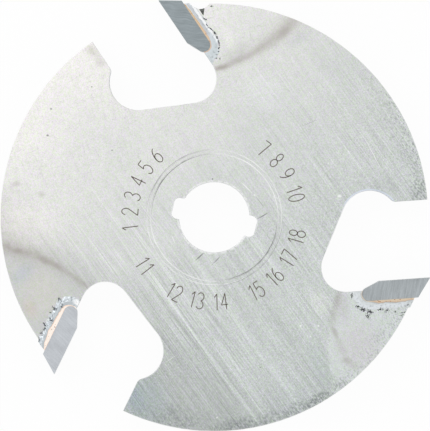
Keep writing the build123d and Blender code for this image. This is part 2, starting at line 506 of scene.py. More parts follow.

# %% [markdown]
# Lines of the grind
#
# A line is noise stretched along the grind. Several widths of line lie over each other,
# because one width alone looks printed. A few are deeper than the rest, and a few broad
# passes of the wheel are brighter or duller. The lines are plain at the lower right, and
# they fade along the grind to the upper left and under the painted sheen.

# %% Lines of the grind
GRIND_ANGLE = -54.25
LINE_WIDTHS = ((0.1, 6.0, 0.66), (0.3, 14.0, 0.24), (1.1, 40.0, 0.2))
LINE_DEPTH = 50.0
DEEP_LINE_CELL = (16.0, 0.13, 50.0)
BRIGHT_LINE_STEP = (0.66, 0.8, 0.0, 0.22)
DARK_LINE_STEP = (0.32, 0.2, 0.0, -0.16)
BROAD_PASSES = (
    (-10.2, 0.3, -0.05), (-9.6, 0.35, 0.12), (-8.1, 0.45, 0.06), (-7.3, 0.4, -0.04), (-6.5, 0.6, -0.06),
    (-4.7, 0.6, 0.07), (-1.2, 1.2, -0.04), (2.1, 0.7, 0.06), (6.6, 0.7, 0.05), (11.1, 0.6, -0.06),
)
PASS_STEP = (-4.0, 6.0)
FADE_ALONG = (-18.0, 8.0, 0.12, 1.0)
FADE_IN_SHEEN = (22.0, -2.0, 0.3, 1.0)
PLAINER_ACROSS = (-4.0, -9.0, 1.0, 1.5)


def grind_lines(finish):
    """The change in tone: the sum of a noise for each width of line, the deep lines and
    the broad passes, times the fades."""
    widths = [
        finish.swing(finish.noise((run, width, LINE_DEPTH), 10 + seed, 2, angle=GRIND_ANGLE), contrast)
        for seed, (width, run, contrast) in enumerate(LINE_WIDTHS)
    ]
    deep = finish.noise(DEEP_LINE_CELL, 14, 0, angle=GRIND_ANGLE)
    deepest = finish.step(deep, *BRIGHT_LINE_STEP), finish.step(deep, *DARK_LINE_STEP)
    along, across, _ = finish.parts(finish.seen_from(angle=GRIND_ANGLE))
    passes = finish.plus(*[
        finish.step(finish.apart(across, middle), 0.0, half_width, change, 0.0)
        for middle, half_width, change in BROAD_PASSES
    ])
    lines = finish.plus(*widths, *deepest, finish.times(passes, finish.step(along, *PASS_STEP)))
    fade = finish.step(along, *FADE_ALONG)
    sheen_fade = finish.step(finish.toward(SHEEN_ANGLE), *FADE_IN_SHEEN)
    return finish.times(lines, fade, sheen_fade, finish.step(across, *PLAINER_ACROSS))


print(f"{len(LINE_WIDTHS)} widths of line and {len(BROAD_PASSES)} broad passes")

# %% [markdown]
# Grain under the lines
#
# Under the lines the metal has a fine grain, weaker under the painted sheen, and a faint
# play of lilac and green that keeps it from being one flat grey. Inside the heat lines both
# the lines and the grain are weaker: the table gives, for each tooth, how softly that
# starts and what share of the lines is left.

# %% Ground steel
SMOOTH_SECTORS = ((0.9, 0.12), (2.0, 0.75), (1.5, 0.3))
GRAIN_CELL = 0.11
GRAIN_STEP = (6.0, -8.0, 0.45, 0.9)
MOTTLE_CELL = 0.6
PLAY_CELL = 0.16
LILAC_PLAY = (1.04, 0.985, 1.09, 1)
GREEN_PLAY = (0.97, 1.015, 0.93, 1)


def ground_tone(finish):
    """The steel's colour and relief, without marks. The relief is the lines plus the
    grain, and the colour is the broad tone times one plus the relief and a mottle."""
    kept = finish.times(*[
        finish.step(heat_distance(finish, tooth), -soft, 0.3, left, 1.0)
        for tooth, (soft, left) in enumerate(SMOOTH_SECTORS)
    ])
    lines = finish.times(grind_lines(finish), kept)
    coarse = finish.step(finish.toward(SHEEN_ANGLE), *GRAIN_STEP)
    coarse = finish.times(coarse, finish.step(kept, 0.0, 1.0, 0.55, 1.0, "LINEAR"))
    relief = finish.plus(lines, finish.swing(finish.noise(GRAIN_CELL, 20, 1, 0.6), coarse))
    change = finish.plus(relief, finish.swing(finish.noise(MOTTLE_CELL, 21, 2), 0.13), 1.0)
    colour = finish.shade(broad_tone(finish), change)
    play = finish.step(finish.noise(PLAY_CELL, 22, 0), 0.3, 0.7)
    return finish.tint(colour, finish.blend(play, LILAC_PLAY, GREEN_PLAY)), relief


print(f"grain of {GRAIN_CELL} mm")

# %% [markdown]
# Heat marks
#
# The brown line is thin at the gullet and broad at the rim, and a soft brown lies on both
# sides of it. A noise makes it wander a little, and another breaks it into patches.

# %% The brown line
HEAT_BROWN = tone(152, 142, 134)
WAVE_CELL = 3.0
PATCH_CELL = 1.5
LINE_HALF_WIDTH = (16.0, 23.5, 0.26, 0.95)


def heated(finish, colour, tooth):
    """The brown line round one tip, and the brighter metal inside it. The line fades with
    the distance off the arc divided by a half width that grows towards the rim."""
    heat = HEATS[tooth]
    wave = finish.swing(finish.noise(WAVE_CELL, 30 + tooth, 1), 0.5)
    outside = finish.plus(heat_distance(finish, tooth), wave)
    half_width = finish.step(finish.from_axis(), *LINE_HALF_WIDTH, "LINEAR")
    off = finish.math("DIVIDE", finish.math("ABSOLUTE", outside), half_width)
    line = finish.plus(finish.step(off, 0.0, 1.3, 0.34, 0.0), finish.step(off, 0.0, 2.8, 0.18, 0.0))
    patches = finish.step(finish.noise(PATCH_CELL, 40 + tooth, 2), 0.3, 0.6, 1 - heat["patchy"], 1.0)
    brighter = finish.step(outside, 0.4 * heat["soft"], -heat["soft"], 1.0, heat["brighter"])
    colour = finish.shade(colour, brighter)
    return finish.blend(finish.times(line, patches, heat["strength"]), colour, HEAT_BROWN)


print("strengths of the brown lines:", [heat["strength"] for heat in HEATS])

# %% [markdown]
# Painted casts of light and shade, and handling
#
# Broad casts of tone lie over the plate: painted light and shade, some of them tinted.
# Handling left smudges, short scratches and a few nicks. All of these only change the
# colour, so they are painted in the plate's material, each by one Mapping node that
# stretches a round spot to its size. A row of each table starts with the place, the half
# length, the half width and the way that the spot points. A cast goes on with the red,
# green and blue that it multiplies the metal by, and a smudge with how strong it is.

# %% Casts of painted light and shade, smudges and scratches
# Painted light and shade: a cast above 1 lightens the metal, below 1 it shades it.
LIGHT_AND_SHADE_CASTS = (
    (-20.9, -0.9, 5.2, 4.0, 0, 1.13, 1.11, 1.11), (-8.0, -20.6, 5.0, 4.0, -60, 0.9, 0.95, 0.97),
    (16.6, -14.6, 4.6, 3.6, -60, 0.985, 0.94, 0.965), (14.5, -9.9, 2.8, 1.2, -82, 0.92, 0.885, 0.91),
    (12.0, -9.6, 2.4, 1.6, -60, 1.1, 1.09, 1.07), (12.1, -17.0, 4.4, 1.7, -70, 0.88, 0.9, 0.9),
    (2.55, 18.7, 2.5, 1.4, 35, 0.9, 0.9, 0.9), (9.5, 20.2, 2.0, 0.9, 30, 0.94, 0.94, 0.965),
    (1.7, 20.1, 2.4, 0.8, -70, 1.05, 1.045, 1.04), (-9.2, -20.3, 2.6, 1.7, -60, 0.98, 1.0, 1.06),
    (8.8, -20.6, 4.6, 3.0, 27, 0.925, 0.93, 0.94), (5.4, 14.2, 4.0, 3.0, 0, 1.06, 1.06, 1.07),
    (-19.4, -8.6, 4.8, 3.2, -60, 1.05, 1.03, 1.0), (-21.7, -6.4, 2.2, 1.3, 45, 0.91, 0.94, 0.99),
    (-20.9, -10.4, 1.8, 1.1, -60, 1.0, 0.95, 0.9),
)
SMUDGES = (
    (-13.9, 18.9, 1.3, 0.8, -45, 0.3), (-12.9, 17.6, 1.2, 0.9, -50, 0.22),
    (0.9, 17.0, 1.4, 0.45, 10, 0.44), (7.9, 21.0, 1.5, 0.8, 45, 0.24),
    (13.95, -9.6, 1.9, 0.75, 78, 0.26), (13.55, -11.3, 1.6, 0.7, 88, 0.24),
    (13.65, -13.0, 1.3, 0.5, -66, 0.42), (14.35, -14.8, 1.6, 0.8, -65, 0.2),
    (15.0, -16.2, 1.0, 0.65, -15, 0.34), (15.7, -16.8, 1.1, 0.7, -30, 0.2),
    (-22.5, 3.8, 0.9, 0.5, 10, 0.3), (-19.6, 2.6, 0.6, 0.5, 10, 0.25),
    (-22.3, -3.8, 1.2, 0.5, -12, 0.36), (-19.2, -4.9, 1.3, 0.6, -22, 0.32),
    (-23.3, -3.4, 0.6, 0.4, -30, 0.26), (-17.9, -5.5, 1.1, 0.5, -28, 0.26),
)
BRIGHT_SCRATCHES = (
    (3.65, 3.4, 1.3, 0.07, -44), (-4.65, -2.5, 0.65, 0.07, -70), (4.57, 2.53, 0.15, 0.14, 0),
    (10.95, 14.0, 0.6, 0.05, -50), (18.1, 7.0, 3.0, 0.05, -62), (14.2, 2.4, 0.35, 0.2, 0),
    (9.8, -12.3, 0.16, 0.15, 0), (11.8, -12.3, 0.15, 0.12, 0), (10.9, -13.5, 0.12, 0.1, 0),
    (0.3, -22.7, 0.14, 0.14, 0), (-5.0, -16.1, 1.3, 0.03, 33),
)
DARK_SCRATCHES = (
    (-1.62, -4.42, 0.95, 0.09, 43), (0.27, -4.84, 0.8, 0.06, 46), (5.55, 0.2, 0.95, 0.08, 30),
    (-0.2, 4.35, 0.16, 0.1, 80), (5.2, 1.7, 1.1, 0.03, -53), (10.8, 10.7, 1.4, 0.022, 22),
    (-18.5, 12.3, 0.16, 0.12, 0), (-18.9, 9.3, 0.2, 0.14, 0), (-13.9, 14.8, 0.12, 0.1, 0),
    (-11.6, 7.6, 0.12, 0.1, 0), (5.2, -17.0, 0.1, 0.1, 0), (-14.8, -8.7, 0.4, 0.08, 45),
)
print(f"{len(LIGHT_AND_SHADE_CASTS)} casts, {len(SMUDGES)} smudges, {len(BRIGHT_SCRATCHES + DARK_SCRATCHES)} scratches")

# %% Paint them on the plate
# Colours of dark and bright marks; the ring's lip uses them as painted shade and highlight.
DARK_MARK_AND_SHADE = tone(92, 94, 94)
BRIGHT_MARK_AND_HIGHLIGHT = tone(248, 249, 248)
HAIR_ANGLES = (15.0, -72.0, 110.0)
HAIR_CELL = (2.4, 0.35, 9.0)
HAIR_LEVEL = 0.62
HAIR_STEP = (0.0, 0.012, 0.16, 0.0)


def hair_lines(finish):
    """Fine hair lines under the painted sheen, where a stretched noise passes through one level."""
    lines = finish.largest([
        finish.step(finish.apart(finish.noise(HAIR_CELL, 50 + seed, 1, angle=angle), HAIR_LEVEL), *HAIR_STEP)
        for seed, angle in enumerate(HAIR_ANGLES)
    ])
    return finish.times(lines, finish.step(finish.toward(SHEEN_ANGLE), 2.0, 14.0))


def marked(finish, colour):
    """Casts of painted light and shade multiply the colour, and smudges, hair lines and
    scratches are blended in.
    """
    for *place, red, green, blue in LIGHT_AND_SHADE_CASTS:
        spot = finish.step(finish.spot(*place), 0.0, 0.8)
        colour = finish.tint(colour, finish.blend(spot, WHITE, (red, green, blue, 1)))
    for *place, amount in SMUDGES:
        spot = finish.step(finish.spot(*place), 0.0, 1.0, 0.0, amount)
        colour = finish.blend(spot, colour, HEAT_BROWN)
    colour = finish.blend(hair_lines(finish), colour, DARK_MARK_AND_SHADE)
    for scratches, mark_colour in ((BRIGHT_SCRATCHES, BRIGHT_MARK_AND_HIGHLIGHT), (DARK_SCRATCHES, DARK_MARK_AND_SHADE)):
        spots = finish.largest([finish.spot(*scratch) for scratch in scratches])
        colour = finish.blend(finish.step(spots, 0.0, 0.7, 0.0, 0.75), colour, mark_colour)
    return colour


print(f"hair lines in {len(HAIR_ANGLES)} directions")

# %% [markdown]
# The ring
#
# A shallow ring groove lies round the bore. Its solid is only a few hundredths of a
# millimetre deep, and what the eye sees is the light on its lip: a painted highlight where
# it runs with the grind, painted shade across it, and a little broken. Two thin circles of
# colour give that.

# %% Lip of the ring groove
RING_ANGLE = -45.0
RING_LINES = ((7.22, 0.95), (7.67, 0.55))
RING_FADE = (0.02, 0.12)


def ringed(finish, colour):
    """Two circles of painted highlight and shade, each strongest on its own radius. The lean
    tells the quarters apart: how much further a place lies across RING_ANGLE than along it,
    over its radius."""
    flat = finish.seen_from(angle=RING_ANGLE, scale=FLAT)
    radius = finish.length(flat)
    along, across, _ = (finish.math("ABSOLUTE", part) for part in finish.parts(flat))
    lean = finish.math("DIVIDE", finish.math("SUBTRACT", across, along), radius)
    # Painted highlight where the lip runs with the grind, painted shade where it runs across.
    lip_highlight_and_shade = finish.blend(finish.step(lean, -0.4, 0.4), DARK_MARK_AND_SHADE, BRIGHT_MARK_AND_HIGHLIGHT)
    strength = finish.times(
        finish.step(finish.math("ABSOLUTE", lean), 0.0, 0.7, 0.35, 1.0),
        finish.step(lean, -0.6, 0.6, 0.95, 0.6),
        finish.step(finish.noise(2.5, 55, 1), 0.3, 0.6, 0.65, 1.0),
    )
    for line, share in RING_LINES:
        amount = finish.times(finish.step(finish.apart(radius, line), *RING_FADE, share, 0.0), strength)
        colour = finish.blend(amount, colour, lip_highlight_and_shade)
    return colour


print("circles of the ring:", [line for line, _ in RING_LINES])

# %% [markdown]
# Rim, bore and lobe
#
# Near the rim the plate is darker in grey patches, broken by lighter specks, and the
# bore's edge is worn bright. The round lobe of the first gullet catches a cool light on its
# upper border. The rows for the rim are like those for the smudges.

# %% Darker patches near the rim, and the bore's wear
EDGE_GREY = tone(126, 132, 132)
RIM_SHADES = (
    (11.9, -20.8, 2.0, 1.2, 31, 0.76), (9.6, -21.8, 2.4, 1.3, 24, 0.56), (7.0, -22.7, 2.4, 1.2, 17, 0.34),
    (3.2, -23.7, 4.4, 1.3, 7, 0.56), (23.4, 2.8, 1.8, 1.7, -80, 0.38), (19.4, 3.6, 2.2, 1.2, -5, 0.24),
    (14.3, -18.9, 1.1, 0.9, 40, 0.36), (18.7, -13.2, 1.4, 0.9, 50, 0.13), (-4.2, -22.8, 3.8, 2.1, -12, 0.36),
)
SPECK_CELL = (0.27, 0.14, 0.16)
RIGHT_SIDE = 15.0
LOBE_CENTRE = (17.68, -0.22)
LOBE_RADIUS = 3.25
LOBE_LIGHT = tone(214, 222, 234)


def lobe_lit(steel, colour):
    """Light on the steel close round the lobe's circle, on its upper side."""
    past_lobe = steel.math("SUBTRACT", steel.from_axis(*LOBE_CENTRE), LOBE_RADIUS)
    above = steel.parts(steel.seen_from((*LOBE_CENTRE, 0.0), scale=FLAT))[1]
    lit = steel.times(steel.step(past_lobe, 0.26, 0.16), steel.step(above, 1.2, 2.2, 0.0, 0.95))
    return steel.blend(lit, colour, LOBE_LIGHT)


def rim_patches_and_bore_wear(steel, colour):
    """Grey specks near the rim, grey patches broken by the same specks, and a bright edge
    to the bore."""
    radius = steel.from_axis()
    specks = steel.noise(SPECK_CELL, 70, 1, angle=GRIND_ANGLE)
    near_rim = steel.times(
        steel.step(radius, 20.5, 24.3),
        steel.step(steel.toward(SHEEN_ANGLE), 6.0, -10.0),
        steel.step(steel.toward(RIGHT_SIDE), 14.0, 22.0, 0.4, 0.66),
    )
    colour = steel.blend(steel.times(steel.step(specks, 0.5, 0.3), near_rim), colour, EDGE_GREY)
    for *place, amount in RIM_SHADES:
        shaded = steel.step(steel.spot(*place), 0.0, 0.6, 0.0, amount)
        shaded = steel.times(shaded, steel.step(specks, 0.64, 0.36, 0.15, 1.0))
        colour = steel.blend(shaded, colour, EDGE_GREY)
    worn = steel.step(steel.noise(0.4, 71, 1), 0.36, 0.54)
    return steel.blend(steel.times(worn, steel.step(radius, 4.32, 4.05, 0.0, 0.75)), colour, BRIGHT_MARK_AND_HIGHLIGHT)


print(f"{len(RIM_SHADES)} dark patches near the rim")

# %% [markdown]
# What the grinding didn't reach
#
# The walls of the gullets and the bore keep the marks of the cutting, the broken edges get
# a painted highlight, and the floor of the void beside the second tip gets painted shade
# over a rough grain. The surface normal tells them apart: its upright part is 0 on a wall
# and 1 on a face. The void's floor is a face too, so its height is needed as well.

# %% Walls, broken edges and the void's floor
WALL_GREY = tone(190, 195, 198)
# The painted shade of the void's floor.
CAVITY_PAINTED_SHADE = tone(120, 122, 118)
STREAK_CELL = (0.16, 0.16, 2.0)
RUBBLE_CELL = 0.2


def walled(steel, colour):
    """Streaked grey where the normal lies flat, a painted highlight where it slants, and
    painted shade with a rough grain where a face lies lower than the plate's own."""
    normal = steel.add("TexCoord", {}, "Normal")
    upright = steel.math("ABSOLUTE", steel.parts(normal)[2])
    streaks = steel.step(steel.noise(STREAK_CELL, 80, 2), 0.25, 0.75, 0.75, 1.25)
    colour = steel.blend(steel.step(upright, 0.5, 0.3), colour, steel.shade(WALL_GREY, streaks))

    # Painted highlight on the broken edges, in patches and weaker towards the rim.
    inner = steel.step(steel.from_axis(), 5.0, 23.8, 1.0, 0.35, "LINEAR")
    painted_edge_highlight = steel.times(steel.step(steel.noise(1.6, 81, 2), 0.36, 0.6, 0.4, 1.0), inner)
    broken = steel.times(steel.step(upright, 0.97, 0.85), steel.step(upright, 0.4, 0.6))
    colour = steel.blend(broken, colour, steel.blend(painted_edge_highlight, colour, WHITE))

    # Painted shade on the floor of the void, broken by a rough grain.
    height = steel.math("ABSOLUTE", steel.parts(steel.place)[2])
    rubble = steel.step(steel.noise(RUBBLE_CELL, 82, 1), 0.3, 0.7, 0.6, 1.4)
    cavity = steel.times(steel.step(height, 1.38, 1.2), steel.step(upright, 0.5, 0.9))
    return steel.blend(cavity, colour, steel.shade(CAVITY_PAINTED_SHADE, rubble))


print(f"streaks {STREAK_CELL[2]:.0f} mm tall on the walls")

# %% [markdown]
# The whole plate
#
# The material is now a list of the finishes above, laid one over the other. The relief of
# the grind is a few thousandths of a millimetre.

# %% Steel of the plate
def plate_steel():
    """Ground steel, then heat, casts of painted light and shade, handling marks, ring and pits,
    then edges and walls. It is a little rougher towards the painted sheen."""
    steel = Finish("plate_steel")
    colour, relief = ground_tone(steel)
    for tooth in TEETH:
        colour = heated(steel, colour, tooth)
    colour = ringed(steel, marked(steel, colour))
    colour, relief = pitted(steel, colour, relief, TEETH)
    colour = walled(steel, rim_patches_and_bore_wear(steel, lobe_lit(steel, colour)))
    roughness = steel.step(steel.toward(SHEEN_ANGLE), -10.0, 18.0, 0.42, 0.55)
    return steel.metal(colour, roughness, metallic=0.8, relief=relief, depth=0.006)


wear("plate", plate_steel())

# %% [markdown]
# Diamond-ground carbide
#
# Sintered carbide is darker than steel and takes a fine satin grind. Each tip was ground
# on its own, so the three differ in tone, in the direction of their lines, and in how
# plain the lines are. A slow sideways drift keeps the lines from being ruled.

# %% Carbide of the tips
CARBIDES = (
    dict(colour=tone(166, 172, 175), line_angle=80.0, contrast=0.8, drift=0.15),
    dict(colour=tone(147, 156, 160), line_angle=-8.0, contrast=0.75, drift=0.35),
    dict(colour=tone(193, 197, 202), line_angle=-42.0, contrast=0.4, drift=0.1),
)
LINES_PER_MM = (0.5, 7.5, 0.3)


def tip_carbide(tooth):
    """The tip's tone times one plus its lines, a broad cloud and a grain. The lines are a
    stretched noise, bent by adding a slow noise to the place."""
    kind = CARBIDES[tooth]
    carbide = Finish(f"tip_carbide_{tooth + 1}")
    wave = carbide.noise((0.9, 0.9, 9.0), 90 + tooth, 0)
    drift = carbide.add("CombineXYZ", {1: carbide.swing(wave, kind["drift"])})
    straight = carbide.seen_from(angle=kind["line_angle"])
    bent = carbide.add("VectorMath", {0: straight, 1: drift}, operation="ADD")
    lines = carbide.noise_of(carbide.tint(bent, LINES_PER_MM), 91 + tooth, 2)
    cloud = carbide.swing(carbide.noise(1.3, 94 + tooth, 1), 0.22)
    grain = carbide.swing(carbide.noise(GRAIN_CELL, 97 + tooth, 1), 0.25)
    change = carbide.plus(carbide.swing(lines, kind["contrast"]), cloud, grain, 1.0)
    colour = carbide.shade(kind["colour"], change)
    return carbide.metal(colour, roughness=0.36, metallic=0.75, relief=lines, depth=0.004)


for tooth in TEETH:
    wear(f"carbide_tip_{tooth + 1}", tip_carbide(tooth))

# %% [markdown]
# From a surface to a mesh
#
# A strip of braze, or one stroke of a digit, is a profile carried along a path, so its
# points form a grid: rows along the path, columns round the profile. One helper turns
# such grids into a mesh and closes both ends of each. A closed mesh has an inside, which
# a renderer and a printer both need.

# %% Grids of points become one closed piece
def carried(name, grids, rounded=True):
    """Each grid's rows are rings along a path, clockwise to someone who walks along it, so
    that the faces look outward. Neighbours make quads, and the ends get caps."""
    points, faces, smooth, start = [], [], [], 0
    for grid in grids:
        rows, ring = grid.shape[:2]
        row, place = np.meshgrid(np.arange(rows - 1), np.arange(ring), indexing="ij")
        here, after = row * ring + place, row * ring + (place + 1) % ring
        quads = np.stack([here, after, after + ring, here + ring], axis=-1).reshape(-1, 4) + start
        end = start + rows * ring
        caps = [list(range(start, start + ring))[::-1], list(range(end - ring, end))]
        points.append(grid.reshape(-1, 3) * MM)
        faces += quads.tolist() + caps
        smooth += [rounded] * len(quads) + [False] * len(caps)
        start = end
    mesh = bpy.data.meshes.new(name)
    mesh.from_pydata(np.concatenate(points).tolist(), [], faces)
    mesh.polygons.foreach_set("use_smooth", smooth)
    piece = bpy.data.objects.new(name, mesh)
    scene.collection.objects.link(piece)
    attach(piece, "root")
    print(f"{name}: {len(faces)} faces")
    return piece


def paint(piece, name, values):
    """Store one number for each point of a mesh, for a material to read."""
    layer = piece.data.attributes.new(name, "FLOAT", "POINT")
    layer.data.foreach_set("value", np.ascontiguousarray(values, dtype=np.float32).ravel())


# %% [markdown]
# Unevenness that is the same every time
#
# Braze is lumpy. The lumps come from a table of random numbers with a fixed seed, read
# smoothly between its cells, so that each run gives the same piece.

# %% Smooth seeded noise
TABLE_SIZE = 128


def eased(value, low, high):
    """0 at low, 1 at high and an eased step between: three squares less two cubes."""
    t = np.clip((value - low) / (high - low), 0, 1)
    return t * t * (3 - 2 * t)


def lumps(x, y, cell, seed):
    """Random heights from -1 to 1 at the corners of square cells, eased between them."""
    table = np.random.default_rng(seed).uniform(-1, 1, (TABLE_SIZE, TABLE_SIZE))
    x, y = x / cell + TABLE_SIZE / 2, y / cell + TABLE_SIZE / 2
    column, row = np.floor(x).astype(int), np.floor(y).astype(int)
    ease_x, ease_y = eased(x - column, 0, 1), eased(y - row, 0, 1)

    def corner(i, j):
        return table[(column + i) % TABLE_SIZE, (row + j) % TABLE_SIZE]

    near = corner(0, 0) * (1 - ease_x) + corner(1, 0) * ease_x
    far = corner(0, 1) * (1 - ease_x) + corner(1, 1) * ease_x
    return near * (1 - ease_y) + far * ease_y


print(f"{TABLE_SIZE} by {TABLE_SIZE} random heights for each seed")

# %% [markdown]
# The braze
#
# Silver braze holds each tip in its seat. Where it was ground flush with the tip it shows
# a copper-coloured strip, and beyond that it slopes down on to the plate as a bead, pale
# and bright, with small dark pits along its toe. The piece is one profile carried round
# the tip's nose and along its back. At a distance from the tip, the path is an arc about
# the nose's centre and then a straight line. It ends where the gullet's floor and the rim
# cut it off, and behind the second tip where the rim is hollow.

# %% The path round a tip
FLOOR_DROP = 1.0
BRAZE_RIM = PLATE_RADIUS + 0.2
FLAW_TOOTH = 1
HOLLOW_RADIUS = 1.3
HOLLOW_DISTANCE = 25.0
HOLLOW_LAG = 10.6


def round_the_tip(tooth, share, distance):
    """The point a given share of the way along the path: arc, then line to the rim. The
    line ends on the rim's circle or, at the flaw, where it meets the hollow's circle."""
    radius = NOSE_RADIUS + distance
    start = pi - np.arcsin(np.clip((-FLOOR_DROP - NOSE_AHEAD) / radius, -1, 1))
    arc = radius * (1.5 * pi - start)
    ahead = -(TIP_THICKNESS + distance)
    hook = radians(HOOK_ANGLE)
    forward = CUTTING_RADIUS * cos(hook)
    short = CUTTING_RADIUS**2 + ahead**2 - 2 * CUTTING_RADIUS * ahead * sin(hook) - BRAZE_RIM**2
    end = -forward + np.sqrt(forward**2 - short)
    if tooth == FLAW_TOOTH:
        x, y = turned(HOLLOW_DISTANCE, 0.0, -HOLLOW_LAG)
        hollow_along, hollow_ahead = turned(x - CUTTING_RADIUS, y, -HOOK_ANGLE)
        aside = np.clip((ahead - hollow_ahead) / HOLLOW_RADIUS, -1, 1)
        reach = hollow_along - HOLLOW_RADIUS * np.sqrt(1 - aside**2)
        end = np.where(np.abs(aside) < 1, np.minimum(end, reach), end)
    travelled = share * (arc + end - NOSE_ALONG)
    angle = start + np.minimum(travelled, arc) / radius
    past = np.maximum(travelled - arc, 0)
    return NOSE_ALONG + radius * np.cos(angle) + past, NOSE_AHEAD + radius * np.sin(angle)


print("the back of a tip meets the rim at", np.round(round_the_tip(0, 1.0, 0.0), 2).tolist())

# %% [markdown]
# Three different seams
#
# The first seam is tan, with a pitted pale bead. The second is thin and orange, with a
# bead that carries a painted highlight on its slope and a crack along its toe. The third
# shows a wide cream lens, and its bead is flecked. The copper strip's width and the bead's
# reach are given at a few shares of the way along it. Then come thin bands: from one
# distance to another, from one share of the way to another, their colour and how strong
# they are. Some are measured from the tip, some from the strip's outer border. A band
# right at the tip crosses bead and strip.

# %% Widths, bands and colours of each seam
SEAMS = (
    dict(
        strip=(
            (0.0, 0.06), (0.24, 0.08), (0.34, 0.18), (0.45, 0.32), (0.6, 0.25), (0.72, 0.38), (1.0, 0.22),
        ),
        reach=((0.0, 1.45), (0.15, 1.2), (1.0, 1.12)), flush=0.42, ragged=0.1, fleck=0.35,
        spotted=(-0.2, 0.8), copper=tone(219, 201, 176), silver=tone(214, 219, 220),
        at_tip=((-0.1, 0.03, 0.0, 0.36, tone(122, 104, 88), 0.6),),
        beside_tip=(
            (0.12, 0.18, 0.0, 0.3, tone(150, 148, 140), 0.55),
            (0.5, 0.95, 0.05, 0.95, tone(228, 233, 238), 0.65),
        ),
        beside_strip=(
            (-0.09, 0.0, 0.3, 1.1, tone(196, 158, 132), 0.55),
            (0.0, 0.08, 0.3, 1.1, tone(150, 152, 154), 0.6),
        ),
    ),
    dict(
        strip=(
            (0.0, 0.07), (0.2, 0.09), (0.32, 0.17), (0.5, 0.27), (0.75, 0.22), (1.0, 0.12),
        ),
        reach=((0.0, 1.7), (0.1, 1.5), (0.24, 1.2), (0.6, 1.06), (1.0, 1.04)),
        flush=0.5, ragged=0.05, fleck=0.3,
        spotted=(-0.2, 0.8), copper=tone(223, 197, 166), silver=tone(214, 221, 226),
        at_tip=(),
        beside_tip=(
            (0.2, 1.7, -0.2, 0.36, tone(205, 213, 216), 0.85),
            (0.24, 0.48, 0.38, 1.2, tone(198, 200, 204), 0.9),
            (0.48, 0.55, 0.42, 0.95, tone(160, 166, 168), 0.6),
            # Painted highlight on the slope of the second seam's bead.
            (0.56, 0.86, 0.7, 1.2, tone(253, 254, 255), 0.95),
            (0.62, 0.92, 0.5, 0.8, tone(253, 254, 255), 0.95),
            (0.7, 0.98, 0.34, 0.6, tone(248, 251, 253), 0.9),
            (0.94, 1.1, 0.6, 1.0, tone(200, 208, 206), 0.6),
        ),
        beside_strip=(
            (-0.1, -0.02, 0.5, 1.2, tone(206, 172, 120), 0.6),
            (-0.01, 0.06, 0.0, 0.5, tone(206, 150, 110), 0.5),
        ),
    ),
    dict(
        strip=(
            (0.0, 0.06), (0.14, 0.13), (0.28, 0.34), (0.45, 0.46), (0.75, 0.58), (0.92, 0.42), (1.0, 0.12),
        ),
        reach=((0.0, 1.1), (0.3, 1.35), (1.0, 1.35)), flush=0.6, ragged=0.25, fleck=0.75,
        spotted=(0.42, 0.5), copper=tone(254, 243, 233), silver=tone(200, 207, 211),
        at_tip=((-0.08, 0.04, 0.05, 1.0, tone(240, 190, 156), 0.55),),
        beside_tip=(
            (0.3, 0.95, -0.2, 0.07, tone(252, 252, 252), 0.95),
            (0.8, 1.0, 0.2, 1.0, tone(212, 219, 226), 0.6),
        ),
        beside_strip=(
            (-0.07, 0.0, 0.05, 1.0, tone(244, 204, 176), 0.75),
            (0.01, 0.07, 0.15, 1.2, tone(150, 156, 160), 0.55),
            (0.05, 0.34, 0.1, 1.2, tone(186, 193, 197), 0.9),
        ),
    ),
)
print("bands on each seam:", [len(s["at_tip"] + s["beside_tip"] + s["beside_strip"]) for s in SEAMS])

# %% [markdown]
# The braze as a mesh
#
# The profile starts at the tip, runs flush, falls to the toe as a hollow curve, turns
# back under, goes down the wall of the seat and comes back below in the same way. The
# tips were ground to clearance on their sides, so the flush part slants as they do. Four
# numbers are stored at each point for the material: the distance from the tip, how far it
# is past the strip and short of the toe, and the share of the way.

# %% The skin of a seam
ROWS = 260
COLUMNS = 36
UNDER_COLUMNS = 5
SUNK = 0.02
UNDERSIDE = HALF_PLATE - 0.1
BRAZE_GAP = 0.25
BEAD_LUMPS = 0.035
STRIP_WANDER = 0.04


def along_the_way(stations, share):
    """A size given at a few shares of the way, read between them in straight lines."""
    places, sizes = zip(*stations)
    return np.interp(share, places, sizes)


def ground_height(along, ahead):
    """Height of a tip's ground side: lower towards the bore and behind the edge."""
    x, y = turned(along, ahead, HOOK_ANGLE)
    return HALF_WIDTH + x * tan(radians(1.5)) + y * tan(radians(2.0))


def rough(x, y, cells, seed):
    """Lumps, and finer ones of half their height."""
    return lumps(x, y, cells[0], seed) + 0.5 * lumps(x, y, cells[1], seed + 5)


